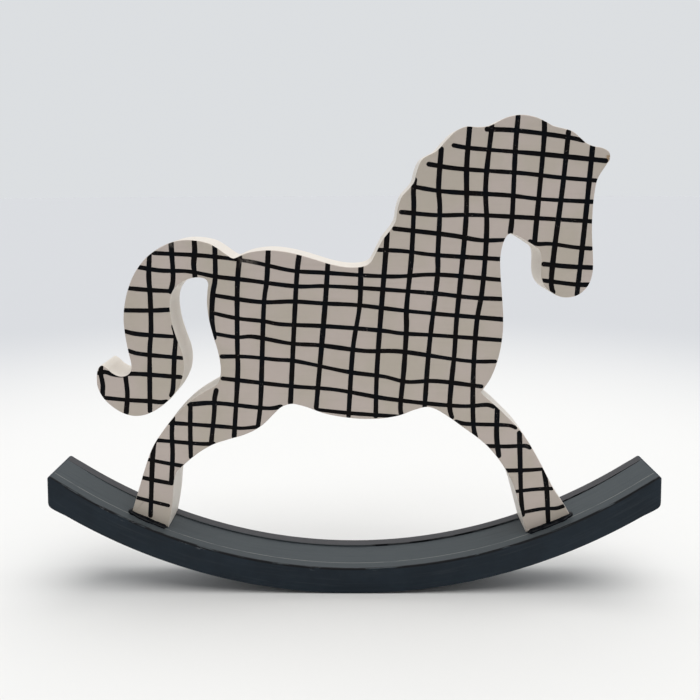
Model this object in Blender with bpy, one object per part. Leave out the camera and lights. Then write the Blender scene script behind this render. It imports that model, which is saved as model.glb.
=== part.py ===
"""A rocking horse ornament: a flat board horse that stands on one curved rocker.

The rocker is glued up from a core and two thin cheeks. Each foot is held by a
bead of glue and by a wood screw from below, whose head is hidden by a plug.

Metres, +Z up. X runs along the horse, with the head at +X. Y is the depth, with
the painted front at -Y. The origin is the middle of the rocker's lowest facet.
Lengths in the constants below are in millimetres.
"""

import math

import bmesh
import bpy
from mathutils import Vector

MM = 0.001

# Rocker, an arc of constant height with its ends cut upright
ROCKER_LENGTH = 241.0
ROCKER_OUTER_RADIUS = 212.5
ROCKER_BAR_HEIGHT = 11.0
CORE_THICKNESS = 14.7
CHEEK_THICKNESS = 4.85
ROCKER_LOW_CORNER_RADIUS = 4.0
ROCKER_TOP_CORNER_RADIUS = 1.0
ROCKER_EDGE_RADIUS = 0.5
ARC_STEP_DEG = 1.6

# Horse board
HORSE_LENGTH = 195.0
HORSE_HEIGHT = 155.0
BOARD_THICKNESS = 18.0
BOARD_REAR_MARGIN = 0.75
BOARD_EDGE_RADIUS = 0.7

# Gap that every two touching pieces keep
FIT_GAP = 0.3
CUTTER_OVERSHOOT = 3.0

# Countersunk wood screws, one up into each foot
SCREW_LENGTH = 25.0
SCREW_THREAD_RADIUS = 1.75
SCREW_CORE_RADIUS = 1.2
SCREW_SHANK_LENGTH = 9.0
SCREW_HEAD_RADIUS = 3.4
SCREW_HEAD_HEIGHT = 2.2
SCREW_HEAD_RIM = 0.3
SCREW_PITCH = 1.8
SCREW_TIP_LENGTH = 4.0
RECESS_WIDTH = 0.9
RECESS_DEPTH = 1.2
RECESS_REACH = 1.9

# Plugs that fill the counterbores under the screw heads
PLUG_THICKNESS = 2.0
PLUG_INSET = 0.1
PLUG_CHAMFER = 0.3

# Beads of glue squeezed out along the front of each sole
GLUE_HEIGHT = 1.0
GLUE_DEPTH = 1.1
GLUE_END_MARGIN = 0.5

# The outline was drawn at this size, and is stretched to the sizes above
DRAWN_LENGTH = 195.0
DRAWN_TOP = 187.2
DRAWN_HEIGHT = 155.0

# The horse's outline, anticlockwise as seen from the front. Each stretch is one smooth
# curve through its points (X, Z), and the outline turns a corner between stretches.
# The feet have no points of their own: the last point of one leg edge and the first
# point of the next lie on the rocker.
TAIL_AND_RUMP = [
    (-86.5, 93.5), (-86.9, 91.2), (-88.6, 89.6), (-91.2, 89.2), (-94.2, 90.6), (-96.5, 92.8),
    (-98.2, 93.6), (-99.7, 92.0), (-100.4, 88.5), (-100.3, 85.0), (-99.0, 81.5), (-96.8, 78.5),
    (-93.8, 75.9), (-90.3, 73.9), (-86.3, 73.0), (-82.2, 73.5), (-78.3, 75.2), (-74.5, 77.8),
    (-71.3, 80.7), (-68.6, 84.5), (-66.6, 89.0), (-65.9, 94.0), (-66.4, 98.5), (-68.0, 103.7),
    (-69.5, 109.0), (-70.2, 114.0), (-70.2, 118.5), (-69.2, 122.0), (-67.2, 124.6), (-64.5, 126.6),
    (-61.5, 127.6), (-58.3, 127.8), (-56.1, 127.1), (-55.3, 125.6), (-55.6, 123.0), (-56.0, 118.0),
    (-55.7, 113.0), (-54.7, 107.5), (-52.5, 99.0), (-51.7, 93.5), (-51.8, 90.0), (-52.4, 87.5),
    (-53.4, 85.9),
]
HIND_LEG_REAR = [
    (-53.4, 85.9), (-59.5, 82.2), (-63.6, 79.5), (-67.6, 76.1), (-71.5, 72.0), (-74.6, 68.0),
    (-77.6, 64.0), (-79.8, 60.5), (-81.2, 57.5), (-83.8, 50.5), (-86.5, 42.5), (-89.9, 32.4),
]
BELLY_SIDE = [
    (-75.4, 26.0), (-74.0, 32.5), (-73.1, 37.5), (-72.3, 44.5), (-71.6, 48.0),
    (-70.5, 50.2), (-68.8, 51.6), (-65.2, 55.0), (-62.7, 57.0), (-59.6, 59.1), (-54.6, 61.7),
    (-50.6, 63.0), (-46.5, 64.2), (-42.5, 65.5), (-39.5, 66.9), (-36.8, 68.6), (-34.2, 70.8),
    (-31.7, 73.4), (-29.7, 75.5), (-27.3, 77.1), (-23.9, 77.9), (-18.4, 76.6), (-12.4, 74.3),
    (-5.4, 72.7), (2.6, 71.8), (10.6, 71.9), (17.6, 73.0), (23.7, 75.3), (29.2, 76.6),
    (34.0, 74.9), (41.6, 69.5), (49.5, 63.7), (53.8, 59.8), (57.2, 55.8), (60.0, 51.8),
    (62.4, 47.8), (64.3, 43.6), (66.6, 36.0), (70.0, 24.7),
]
FORE_LEG_FRONT = [
    (87.5, 31.7), (84.6, 36.2), (80.8, 41.6), (77.8, 47.2), (74.8, 52.9), (71.4, 58.9),
    (67.5, 65.0), (64.4, 68.8), (60.5, 72.7), (56.6, 76.5), (53.4, 79.2), (49.9, 82.5),
]
CHEST_HEAD_AND_BACK = [
    (49.9, 82.5), (52.2, 85.8), (53.7, 88.5), (55.0, 91.8), (56.8, 98.8), (57.7, 107.7),
    (57.5, 113.7), (56.8, 121.2), (56.1, 127.7), (55.6, 134.2), (56.3, 139.7), (57.1, 142.0),
    (58.1, 143.6), (59.3, 144.1), (63.0, 142.6), (66.0, 140.9), (68.5, 139.3), (70.2, 137.9),
    (70.9, 136.0), (71.1, 130.0), (71.8, 126.3), (73.4, 123.6), (76.1, 121.5), (79.0, 120.2),
    (82.0, 119.9), (85.8, 120.9), (89.3, 124.4), (90.7, 129.0), (90.6, 134.5), (89.7, 143.5),
    (89.4, 151.5), (89.7, 159.0), (90.5, 164.0), (93.0, 168.5), (94.6, 171.4), (94.1, 173.8),
    (91.4, 175.3), (87.9, 176.0), (85.2, 177.3), (81.0, 180.8), (77.8, 182.1), (73.3, 183.1),
    (70.3, 184.7), (66.8, 186.2), (61.3, 187.1), (55.9, 186.1), (50.3, 183.4), (46.4, 182.8),
    (41.4, 183.0), (37.3, 181.1), (33.8, 177.6), (30.8, 174.4), (25.6, 171.4), (23.6, 167.0),
    (22.5, 163.0), (18.3, 158.0), (16.9, 154.5), (15.7, 148.3), (11.2, 142.1), (8.7, 137.3),
    (6.5, 133.4), (3.8, 132.0), (-2.0, 131.7), (-9.0, 133.0), (-17.0, 135.5), (-25.0, 137.5),
    (-33.0, 138.2), (-40.0, 137.2), (-43.6, 135.7), (-45.5, 135.2), (-49.7, 138.0), (-54.2, 140.7),
    (-60.2, 142.0), (-66.3, 141.8), (-72.4, 139.6), (-78.7, 135.2), (-83.9, 128.3), (-87.3, 119.3),
    (-88.5, 111.0), (-87.9, 102.7), (-86.5, 93.5),
]
CURVE_TURN_DEG = 11.0
CURVE_LONGEST_STEP = 6.0

ROUND_SIDES = 24
THREAD_SIDES = 14
THREAD_STEPS_PER_TURN = 5
SOLE_STEPS = 6
CORNER_STEPS = 4
ROUNDOVER_STEPS = 2
CURVE_SAMPLES = 24

# Sizes that follow from those above
SEAT_RADIUS = ROCKER_OUTER_RADIUS - ROCKER_BAR_HEIGHT
ROCKER_DEPTH = CORE_THICKNESS + 2 * (CHEEK_THICKNESS + FIT_GAP)
ROCKER_CENTRE_Z = ROCKER_OUTER_RADIUS * math.cos(math.radians(ARC_STEP_DEG / 2))
BOARD_REAR_Y = ROCKER_DEPTH / 2 - BOARD_REAR_MARGIN
BOARD_FRONT_Y = BOARD_REAR_Y - BOARD_THICKNESS
SCREW_Y = (max(BOARD_FRONT_Y, -CORE_THICKNESS / 2) + min(BOARD_REAR_Y, CORE_THICKNESS / 2)) / 2
PLUG_RADIUS = SCREW_HEAD_RADIUS
BORE_RADIUS = PLUG_RADIUS + FIT_GAP
SCREW_HEAD_START = PLUG_INSET + PLUG_THICKNESS + FIT_GAP

GREIGE = (0.62, 0.55, 0.49)
CHARCOAL = (0.022, 0.026, 0.031)
STEEL = (0.55, 0.55, 0.54)
FILLER = (0.03, 0.033, 0.038)
GLOSS_BLACK = (0.008, 0.009, 0.011)


def clear_scene():
    for item in list(bpy.data.objects):
        bpy.data.objects.remove(item, do_unlink=True)


def make_material(name, colour, roughness, metallic=0.0):
    material = bpy.data.materials.new(name)
    material.use_nodes = True
    shader = material.node_tree.nodes["Principled BSDF"]
    shader.inputs["Base Color"].default_value = (*colour, 1.0)
    shader.inputs["Roughness"].default_value = roughness
    shader.inputs["Metallic"].default_value = metallic
    material.diffuse_color = (*colour, 1.0)
    return material


def add_object(name, bm, material, smooth_below_deg=None):
    """Turns a bmesh drawn in millimetres into an object in metres."""
    bmesh.ops.scale(bm, vec=(MM, MM, MM), verts=bm.verts)
    bmesh.ops.recalc_face_normals(bm, faces=bm.faces)
    mesh = bpy.data.meshes.new(name)
    bm.to_mesh(mesh)
    bm.free()
    if smooth_below_deg is not None:
        mesh.shade_smooth()
        mesh.set_sharp_from_angle(angle=math.radians(smooth_below_deg))
    mesh.materials.append(material)
    item = bpy.data.objects.new(name, mesh)
    bpy.context.scene.collection.objects.link(item)
    return item


def cut(item, cutter):
    """Subtracts a cutter, which stays in the file as a hidden wire guide."""
    cutter.hide_render = True
    cutter.display_type = "WIRE"
    boolean = item.modifiers.new("cut_" + cutter.name, "BOOLEAN")
    boolean.operation = "DIFFERENCE"
    boolean.solver = "EXACT"
    boolean.object = cutter


# Outlines


def seat_z(x):
    """Height of the rocker's upper face at x."""
    return ROCKER_CENTRE_Z - math.sqrt(SEAT_RADIUS**2 - x**2)


def fitted(points):
    """Drawn points at the horse's size, stretched about its middle and its highest sole."""
    stretch_x = HORSE_LENGTH / DRAWN_LENGTH
    stretch_z = HORSE_HEIGHT / DRAWN_HEIGHT
    foot_z = DRAWN_TOP - DRAWN_HEIGHT
    return [Vector((x * stretch_x, foot_z + (z - foot_z) * stretch_z)) for x, z in points]


def smooth_curve(points):
    """Dense points of a centripetal Catmull-Rom curve, without its last point."""
    ends = [2 * points[0] - points[1]] + points + [2 * points[-1] - points[-2]]
    dense = []
    for before, start, end, after in zip(ends, ends[1:], ends[2:], ends[3:]):
        t0 = 0.0
        t1 = t0 + math.sqrt((start - before).length)
        t2 = t1 + math.sqrt((end - start).length)
        t3 = t2 + math.sqrt((after - end).length)
        for i in range(CURVE_SAMPLES):
            t = t1 + (t2 - t1) * i / CURVE_SAMPLES
            a1 = before.lerp(start, (t - t0) / (t1 - t0))
            a2 = start.lerp(end, (t - t1) / (t2 - t1))
            a3 = end.lerp(after, (t - t2) / (t3 - t2))
            b1 = a1.lerp(a2, (t - t0) / (t2 - t0))
            b2 = a2.lerp(a3, (t - t1) / (t3 - t1))
            dense.append(b1.lerp(b2, (t - t1) / (t2 - t1)))
    return dense


def thinned(points):
    """Keeps a point where the curve has turned, or run far enough, since the last one kept."""
    kept = [points[0]]
    turned = 0.0
    for behind, here, ahead in zip(points, points[1:], points[2:]):
        turned += abs((here - behind).angle_signed(ahead - here, 0.0))
        far = (here - kept[-1]).length > CURVE_LONGEST_STEP
        if far or math.degrees(turned) > CURVE_TURN_DEG:
            kept.append(here)
            turned = 0.0
    return kept


def foot_edge(left, right):
    """The sole between two points that lie on the rocker, kept clear of it."""
    xs = [left.x + (right.x - left.x) * i / SOLE_STEPS for i in range(SOLE_STEPS)]
    return [Vector((x, seat_z(x) + FIT_GAP)) for x in xs]


def seated(points, index):
    """Moves the first or last point of a leg edge onto the rocker."""
    moved = list(points)
    moved[index] = Vector((points[index].x, seat_z(points[index].x) + FIT_GAP))
    return moved


def horse_outline():
    tail = fitted(TAIL_AND_RUMP)
    hind_rear = seated(fitted(HIND_LEG_REAR), -1)
    belly = seated(seated(fitted(BELLY_SIDE), 0), -1)
    fore_front = seated(fitted(FORE_LEG_FRONT), 0)
    back = fitted(CHEST_HEAD_AND_BACK)
    outline = thinned(smooth_curve(tail))
    outline += thinned(smooth_curve(hind_rear))
    outline += foot_edge(hind_rear[-1], belly[0])
    outline += thinned(smooth_curve(belly))
    outline += foot_edge(belly[-1], fore_front[0])
    outline += thinned(smooth_curve(fore_front))
    outline += thinned(smooth_curve(back))
    return outline


def rounded_corner(corner, towards_start, towards_end, radius):
    """Points of a fillet at a corner, from the side it comes from to the side it goes to."""
    a = (towards_start - corner).normalized()
    b = (towards_end - corner).normalized()
    half = a.angle(b) / 2
    centre = corner + (a + b).normalized() * (radius / math.sin(half))
    first = corner + a * (radius / math.tan(half)) - centre
    last = corner + b * (radius / math.tan(half)) - centre
    fillet = []
    for i in range(CORNER_STEPS + 1):
        share = i / CORNER_STEPS
        spoke = (first * (1 - share) + last * share).normalized()
        fillet.append(centre + spoke * radius)
    return fillet


def arc_points(radius, half_length):
    """Points of an arc about the rocker's centre, left to right, with one facet centred on x = 0."""
    step = math.radians(ARC_STEP_DEG)
    reach = math.asin(half_length / radius)
    count = int((reach - step / 4) / step - 0.5) + 1
    angles = [(i + 0.5) * step for i in range(-count, count)]
    angles = [-reach] + angles + [reach]
    return [Vector((radius * math.sin(a), ROCKER_CENTRE_Z - radius * math.cos(a))) for a in angles]


def rocker_outline():
    """Anticlockwise: the lower arc left to right, then the upper arc back."""
    lower = arc_points(ROCKER_OUTER_RADIUS, ROCKER_LENGTH / 2)
    upper = arc_points(SEAT_RADIUS, ROCKER_LENGTH / 2)[::-1]
    outline = rounded_corner(lower[0], upper[-1], lower[1], ROCKER_LOW_CORNER_RADIUS)
    outline += lower[1:-1]
    outline += rounded_corner(lower[-1], lower[-2], upper[0], ROCKER_LOW_CORNER_RADIUS)
    outline += rounded_corner(upper[0], lower[-1], upper[1], ROCKER_TOP_CORNER_RADIUS)
    outline += upper[1:-1]
    outline += rounded_corner(upper[-1], upper[-2], lower[0], ROCKER_TOP_CORNER_RADIUS)
    return outline


def inset_outline(outline, distance):
    """The anticlockwise outline moved inwards by a distance, with mitred corners."""
    moved = []
    for i, here in enumerate(outline):
        before = (here - outline[i - 1]).normalized()
        after = (outline[(i + 1) % len(outline)] - here).normalized()
        inward_before = Vector((-before.y, before.x))
        inward_after = Vector((-after.y, after.x))
        mitre = (inward_before + inward_after).normalized()
        moved.append(here + mitre * (distance / max(mitre.dot(inward_after), 0.5)))
    return moved


def roundover(radius, rounded):
    """(inset, depth) pairs from a board's face down to its side."""
    if not rounded:
        return [(0.0, 0.0)]
    angles = [math.pi / 2 * i / ROUNDOVER_STEPS for i in range(ROUNDOVER_STEPS + 1)]
    return [(radius * (1 - math.sin(a)), radius * (1 - math.cos(a))) for a in angles]


def board_mesh(outline, front_y, rear_y, radius, front_rounded=True, rear_rounded=True):
    """A flat board of that outline, from front_y to rear_y, with its long edges rounded over."""
    bm = bmesh.new()
    levels = [(inset, front_y + depth) for inset, depth in roundover(radius, front_rounded)]
    rear = [(inset, rear_y - depth) for inset, depth in roundover(radius, rear_rounded)]
    levels += rear[::-1]
    rings = []
    for inset, y in levels:
        ring = inset_outline(outline, inset)
        rings.append([bm.verts.new((p.x, y, p.y)) for p in ring])
    for low, high in zip(rings, rings[1:]):
        for i in range(len(outline)):
            j = (i + 1) % len(outline)
            bm.faces.new((low[i], low[j], high[j], high[i]))
    bm.faces.new(rings[0])
    bm.faces.new(rings[-1][::-1])
    return bm


def turned_mesh(profile, sides=ROUND_SIDES):
    """A closed turned body about local Z, through (radius, z) pairs that start and end at radius 0."""
    bm = bmesh.new()
    rings = []
    for radius, z in profile:
        count = sides if radius else 1
        turn = [2 * math.pi * i / count for i in range(count)]
        rings.append([bm.verts.new((radius * math.cos(a), radius * math.sin(a), z)) for a in turn])
    for low, high in zip(rings, rings[1:]):
        for i in range(sides):
            j = (i + 1) % sides
            around = [low[i % len(low)], low[j % len(low)], high[j % len(high)], high[i % len(high)]]
            bm.faces.new(list(dict.fromkeys(around)))
    return bm


# Screws, their holes and their plugs


def soles():
    """The left and right x of each sole on the rocker, by the leg's name."""
    hind = (fitted(HIND_LEG_REAR)[-1].x, fitted(BELLY_SIDE)[0].x)
    fore = (fitted(BELLY_SIDE)[-1].x, fitted(FORE_LEG_FRONT)[0].x)
    return {"hind": hind, "fore": fore}


def set_on_screw_axis(item, foot_x):
    """Places a turned body so that its local Z runs from the rocker's lower face up through the foot."""
    angle = math.asin(foot_x / SEAT_RADIUS)
    x = ROCKER_OUTER_RADIUS * math.sin(angle)
    z = ROCKER_CENTRE_Z - ROCKER_OUTER_RADIUS * math.cos(angle)
    item.location = (x * MM, SCREW_Y * MM, z * MM)
    item.rotation_euler = (0.0, -angle, 0.0)


def thread_radius(z, turn):
    """Radius of the threaded length at height z and turn, a share of one revolution."""
    phase = (z / SCREW_PITCH - turn) % 1.0
    crest = max(0.0, 1.0 - abs(phase - 0.5) * 4.0)
    taper = min(1.0, max(0.0, (SCREW_HEAD_START + SCREW_LENGTH - z) / SCREW_TIP_LENGTH))
    return (SCREW_CORE_RADIUS + (SCREW_THREAD_RADIUS - SCREW_CORE_RADIUS) * crest) * taper


def screw_mesh():
    """A countersunk wood screw along local Z, with its head down and its tip up."""
    head = SCREW_HEAD_START
    shank_end = head + SCREW_SHANK_LENGTH
    tip = head + SCREW_LENGTH
    plain = [
        (SCREW_HEAD_RADIUS, head),
        (SCREW_HEAD_RADIUS, head + SCREW_HEAD_RIM),
        (SCREW_THREAD_RADIUS, head + SCREW_HEAD_HEIGHT),
        (SCREW_THREAD_RADIUS, shank_end - SCREW_HEAD_RIM),
        (SCREW_CORE_RADIUS, shank_end),
    ]
    step = SCREW_PITCH / THREAD_STEPS_PER_TURN
    turns = [i / THREAD_SIDES for i in range(THREAD_SIDES)]
    levels = [(z, [radius] * THREAD_SIDES) for radius, z in plain]
    for i in range(1, int((tip - shank_end) / step)):
        z = shank_end + i * step
        levels.append((z, [thread_radius(z, turn) for turn in turns]))
    bm = bmesh.new()
    rings = []
    for z, radii in levels:
        spokes = [(r, 2 * math.pi * turn) for r, turn in zip(radii, turns)]
        rings.append([bm.verts.new((r * math.cos(a), r * math.sin(a), z)) for r, a in spokes])
    for low, high in zip(rings, rings[1:]):
        for i in range(THREAD_SIDES):
            j = (i + 1) % THREAD_SIDES
            bm.faces.new((low[i], low[j], high[j], high[i]))
    bm.faces.new(rings[0][::-1])
    point = bm.verts.new((0.0, 0.0, tip))
    for i in range(THREAD_SIDES):
        bm.faces.new((rings[-1][i], rings[-1][(i + 1) % THREAD_SIDES], point))
    return bm


def recess_mesh():
    """The cross in a screw's head, as one twelve-sided prism."""
    bm = bmesh.new()
    near, far = RECESS_WIDTH / 2, RECESS_REACH
    quarter = [(far, -near), (far, near), (near, near)]
    cross = []
    for i in range(4):
        angle = math.pi / 2 * i
        c, s = round(math.cos(angle)), round(math.sin(angle))
        cross += [(x * c - y * s, x * s + y * c) for x, y in quarter]
    below = SCREW_HEAD_START - 1.0
    face = bm.faces.new([bm.verts.new((x, y, below)) for x, y in cross])
    pushed = bmesh.ops.extrude_face_region(bm, geom=[face])["geom"]
    raised = [v for v in pushed if isinstance(v, bmesh.types.BMVert)]
    bmesh.ops.translate(bm, vec=(0.0, 0.0, RECESS_DEPTH + 1.0), verts=raised)
    return bm


def rocker_hole_mesh():
    """Counterbore, countersink and clearance hole through the rocker."""
    head = SCREW_HEAD_START
    clear = SCREW_THREAD_RADIUS + FIT_GAP
    beyond = ROCKER_BAR_HEIGHT + CUTTER_OVERSHOOT
    return turned_mesh([
        (0.0, -CUTTER_OVERSHOOT),
        (BORE_RADIUS, -CUTTER_OVERSHOOT),
        (BORE_RADIUS, head + SCREW_HEAD_RIM),
        (clear, head + SCREW_HEAD_HEIGHT + FIT_GAP),
        (clear, beyond),
        (0.0, beyond),
    ])


def foot_hole_mesh():
    """Blind hole up into the foot, round the screw's thread."""
    clear = SCREW_THREAD_RADIUS + FIT_GAP
    mouth = ROCKER_BAR_HEIGHT - CUTTER_OVERSHOOT
    end = SCREW_HEAD_START + SCREW_LENGTH + FIT_GAP
    return turned_mesh([(0.0, mouth), (clear, mouth), (clear, end), (0.0, end + clear / 2)])


def plug_mesh():
    top = PLUG_INSET + PLUG_THICKNESS
    return turned_mesh([
        (0.0, PLUG_INSET),
        (PLUG_RADIUS - PLUG_CHAMFER, PLUG_INSET),
        (PLUG_RADIUS, PLUG_INSET + PLUG_CHAMFER),
        (PLUG_RADIUS, top),
        (0.0, top),
    ])


def glue_mesh(left, right):
    """A bead with a hollow front, in the corner between the board's face and the rocker."""
    bm = bmesh.new()
    rear_y = BOARD_FRONT_Y - FIT_GAP
    section = [
        (0.0, 0.0),
        (0.0, GLUE_HEIGHT),
        (GLUE_DEPTH / 3, GLUE_HEIGHT / 2),
        (GLUE_DEPTH, GLUE_HEIGHT / 5),
        (GLUE_DEPTH, 0.0),
    ]
    rings = []
    for i in range(SOLE_STEPS + 1):
        x = left + GLUE_END_MARGIN + (right - left - 2 * GLUE_END_MARGIN) * i / SOLE_STEPS
        base = seat_z(x) + FIT_GAP
        rings.append([bm.verts.new((x, rear_y - out, base + up)) for out, up in section])
    for low, high in zip(rings, rings[1:]):
        for i in range(len(section)):
            j = (i + 1) % len(section)
            bm.faces.new((low[i], low[j], high[j], high[i]))
    bm.faces.new(rings[0])
    bm.faces.new(rings[-1][::-1])
    return bm


# The pieces


def make_horse_board(paint):
    bm = board_mesh(horse_outline(), BOARD_FRONT_Y, BOARD_REAR_Y, BOARD_EDGE_RADIUS)
    return add_object("horse_board", bm, paint, smooth_below_deg=35)


def make_rocker(paint):
    """The core between its two cheeks, which are rounded on their outer edges only."""
    outline = rocker_outline()
    core_front = -CORE_THICKNESS / 2
    core_rear = CORE_THICKNESS / 2
    radius = ROCKER_EDGE_RADIUS
    core = board_mesh(outline, core_front, core_rear, radius, False, False)
    front = board_mesh(outline, -ROCKER_DEPTH / 2, core_front - FIT_GAP, radius, True, False)
    rear = board_mesh(outline, core_rear + FIT_GAP, ROCKER_DEPTH / 2, radius, False, True)
    add_object("rocker_front_cheek", front, paint, smooth_below_deg=35)
    add_object("rocker_rear_cheek", rear, paint, smooth_below_deg=35)
    return add_object("rocker_core", core, paint, smooth_below_deg=35)


def make_foot_fixing(leg, sole, board, core, finishes):
    """One foot's screw with its plug, the holes for them, and the glue bead."""
    steel, filler, glue = finishes
    recess = add_object(leg + "_recess_cutter", recess_mesh(), steel)
    rocker_hole = add_object(leg + "_rocker_hole_cutter", rocker_hole_mesh(), steel)
    foot_hole = add_object(leg + "_foot_hole_cutter", foot_hole_mesh(), steel)
    screw = add_object(leg + "_foot_screw", screw_mesh(), steel, smooth_below_deg=40)
    plug = add_object(leg + "_screw_plug", plug_mesh(), filler, smooth_below_deg=40)
    for item in (recess, rocker_hole, foot_hole, screw, plug):
        set_on_screw_axis(item, sum(sole) / 2)
    cut(screw, recess)
    cut(core, rocker_hole)
    cut(board, foot_hole)
    add_object(leg + "_foot_glue", glue_mesh(*sole), glue, smooth_below_deg=40)


def main():
    clear_scene()
    greige = make_material("greige_paint", GREIGE, 0.55)
    charcoal = make_material("charcoal_paint", CHARCOAL, 0.42)
    steel = make_material("zinc_steel", STEEL, 0.35, metallic=1.0)
    filler = make_material("painted_filler", FILLER, 0.6)
    glue = make_material("black_gloss", GLOSS_BLACK, 0.2)
    board = make_horse_board(greige)
    core = make_rocker(charcoal)
    for leg, sole in soles().items():
        make_foot_fixing(leg, sole, board, core, (steel, filler, glue))


main()
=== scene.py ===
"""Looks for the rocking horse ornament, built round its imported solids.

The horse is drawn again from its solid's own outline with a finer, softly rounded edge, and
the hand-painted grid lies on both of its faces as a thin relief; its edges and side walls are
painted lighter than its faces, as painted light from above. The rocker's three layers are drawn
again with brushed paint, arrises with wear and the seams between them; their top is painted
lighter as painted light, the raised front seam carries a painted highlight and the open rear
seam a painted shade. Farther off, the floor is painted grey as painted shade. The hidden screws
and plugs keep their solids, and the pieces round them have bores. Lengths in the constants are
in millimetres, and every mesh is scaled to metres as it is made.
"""

import math

import bmesh
import bpy
from mathutils import Matrix, Vector, noise
from mathutils.geometry import delaunay_2d_cdt
from mathutils.kdtree import KDTree


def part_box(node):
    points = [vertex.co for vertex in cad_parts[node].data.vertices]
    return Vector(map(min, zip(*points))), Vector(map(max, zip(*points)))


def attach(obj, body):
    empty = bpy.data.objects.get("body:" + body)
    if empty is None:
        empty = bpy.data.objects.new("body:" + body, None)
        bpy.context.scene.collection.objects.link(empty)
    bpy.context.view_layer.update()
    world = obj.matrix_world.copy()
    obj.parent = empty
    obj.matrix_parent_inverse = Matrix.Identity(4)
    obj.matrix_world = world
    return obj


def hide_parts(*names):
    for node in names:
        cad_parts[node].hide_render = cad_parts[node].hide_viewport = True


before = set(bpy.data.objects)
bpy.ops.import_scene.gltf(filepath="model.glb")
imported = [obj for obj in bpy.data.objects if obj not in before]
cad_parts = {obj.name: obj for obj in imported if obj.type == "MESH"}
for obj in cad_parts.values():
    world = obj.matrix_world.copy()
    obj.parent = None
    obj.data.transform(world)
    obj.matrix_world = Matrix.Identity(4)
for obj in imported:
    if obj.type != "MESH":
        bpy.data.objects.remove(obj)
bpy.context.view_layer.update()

# A millimetre in metres
MM = 0.001

# Outlines and shading
SAME_PLACE = 0.001
LEVEL_SLACK = 0.01
MITRE_LIMIT = 0.5
SMOOTH_BELOW_DEG = 40.0

# Horse board
CAD_BOARD_EDGE_RADIUS = 0.7
BOARD_EDGE_RADIUS = 0.4
CORNER_TURN_DEG = 26.0
ROCKER_CORNER_TURN_DEG = 60.0
OUTLINE_STEP = 0.6
ROUNDOVER_STEPS = 5

# Painted grid
UPRIGHT_WIDTH = 1.95
LEVEL_WIDTH = 1.65
LINE_WIDTH_WOBBLE = 0.2
# Size across, share of the wobble and seed step from stroke to stroke
SLOW_WOBBLE = (17.0, 1.6, 3.7)
QUICK_WOBBLE = (4.0, 0.8, 1.3)
LINE_HEIGHT = 0.09
LINE_SLOPE = 0.16
LINE_STEP = 1.2
LINE_SINK = 0.05
LINE_RIM_HEIGHT = 0.02
LINE_MARGINS = [0.12, 0.25, 0.45]
CAP_STEPS = 6
CELL_TOLERANCE = 1e-4

# Strokes down the horse's front, each a smooth curve through its points (X, Z)
UPRIGHT_STROKES = [
    [(-98.3, 93.5), (-98.6, 90), (-98.1, 86), (-98.7, 80.5)],
    [(-89, 89.5), (-88.7, 82), (-89.6, 74.5)],
    [(-77, 136.5), (-77.7, 128.5), (-77.6, 120.5), (-78.1, 106), (-78.8, 101), (-80.2, 75)],
    [(-68.6, 141), (-68.6, 126.5), (-69.7, 122.5)],
    [(-69.2, 109), (-68.6, 105.5), (-69.5, 97), (-70.8, 83.5), (-71.5, 81.5)],
    [(-59.8, 142), (-59.8, 137.5), (-60.4, 133), (-60.1, 128)],
    [(-52.1, 140), (-52.5, 127), (-53.5, 122), (-54.3, 112), (-53.7, 104.5)],
    [(-42.9, 135.5), (-44, 126), (-44.9, 98), (-44.9, 93), (-47.3, 64.5)],
    [(-32, 138), (-32.9, 126), (-33.9, 120), (-36.6, 77), (-37.7, 69)],
    [(-20.3, 136.5), (-21.1, 131), (-24.7, 78.5)],
    [(-9.5, 133.5), (-10.4, 121), (-14.6, 76.5)],
    [(3, 132), (2.5, 117), (0, 101), (-1.9, 73)],
    [(12.9, 144.5), (9.2, 91), (8.8, 73)],
    [(22.9, 164), (22.5, 160), (22.7, 155), (22.1, 136), (20.4, 115), (20.5, 109), (19.7, 92),
     (18.5, 76), (18.9, 73.5)],
    [(32.5, 175), (31.8, 161), (32.4, 154), (32, 136), (32.1, 130), (29.3, 100), (28, 77)],
    [(42.7, 183), (42, 169), (42.3, 151), (39.6, 110), (39.2, 99), (37.9, 76), (38.8, 72.5)],
    [(50.8, 183.5), (49.2, 161.5), (50.1, 146.5), (49.1, 122.5), (47.5, 111), (46.7, 87),
     (47.5, 68), (48.3, 64.5)],
    [(60.2, 186.5), (59.7, 176.5), (59.4, 149.5), (59, 144.5)],
    [(69.8, 185), (70, 180.5), (68.2, 140.5)],
    [(78.8, 181), (77.9, 164.5), (75.3, 124.5), (76.1, 122)],
    [(87.9, 176), (86.8, 150.5), (85.2, 121)],
    [(-53.7, 83.5), (-54.5, 80), (-54.7, 76), (-56.5, 62)],
    [(-64.1, 77.5), (-64.6, 68), (-64.9, 56)],
    [(-71.3, 72.5), (-72, 66), (-72.1, 58), (-73.2, 45)],
    [(-78.9, 63.5), (-79.8, 59), (-82.4, 31)],
    [(56.5, 77), (56.7, 64), (57.8, 56.5)],
    [(65.6, 66), (67.5, 38), (68.3, 31.5)],
    [(76.1, 50), (77.4, 43), (78.8, 28)],
]

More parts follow.
